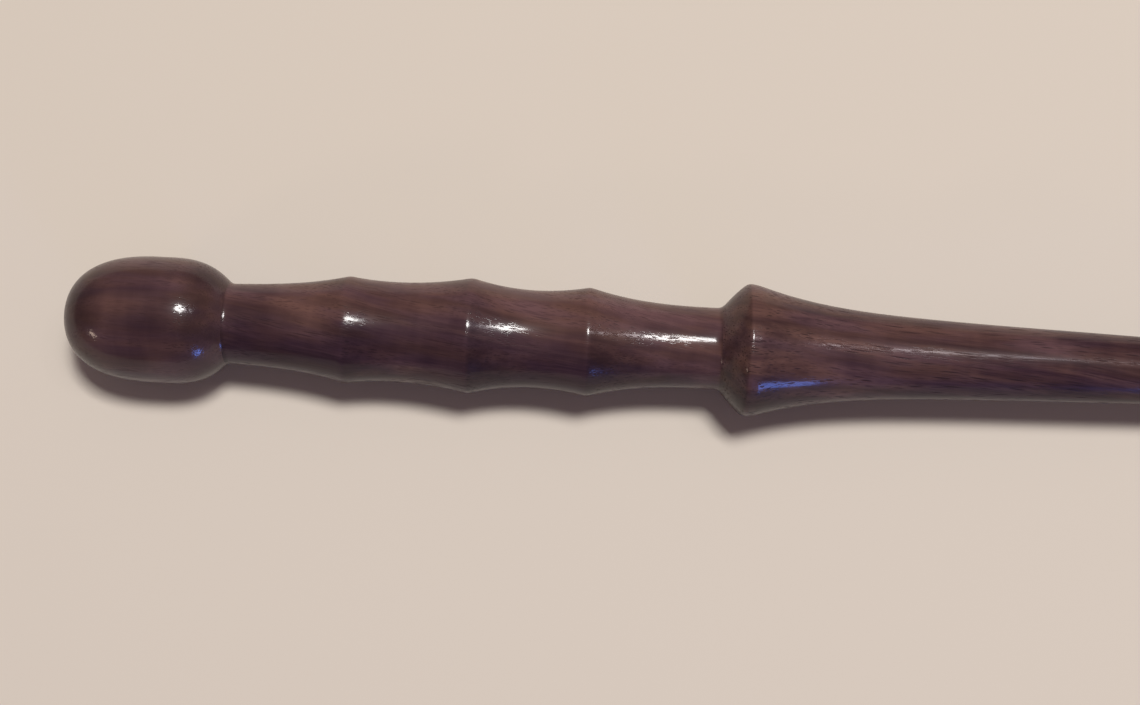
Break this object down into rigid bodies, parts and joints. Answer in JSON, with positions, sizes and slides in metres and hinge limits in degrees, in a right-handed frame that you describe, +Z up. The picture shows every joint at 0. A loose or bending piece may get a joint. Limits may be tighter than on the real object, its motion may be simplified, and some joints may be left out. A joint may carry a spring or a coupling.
{
  "type": "magic wand",
  "caption": "Lathe-turned dark hardwood wand: ball knob, ridged finger grip, flared collar and a long tapering shaft with a rounded tip.",
  "frame": {"origin": "centre of the bounding box in X and Y, on the surface that the wand lies on", "axes": "+X from the knob towards the tip, +Z up, +Y to the left when looking from knob to tip"},
  "size_m": [0.34, 0.0232, 0.0231],
  "materials": {
    "walnut": "gloss lacquer",
    "dowel_beech": "bare, sanded"
  },
  "bodies": {
    "root": {"knob": "walnut", "grip": "walnut", "shaft": "walnut", "knob_dowel": "dowel_beech", "shaft_dowel": "dowel_beech"}
  },
  "joints": []
}
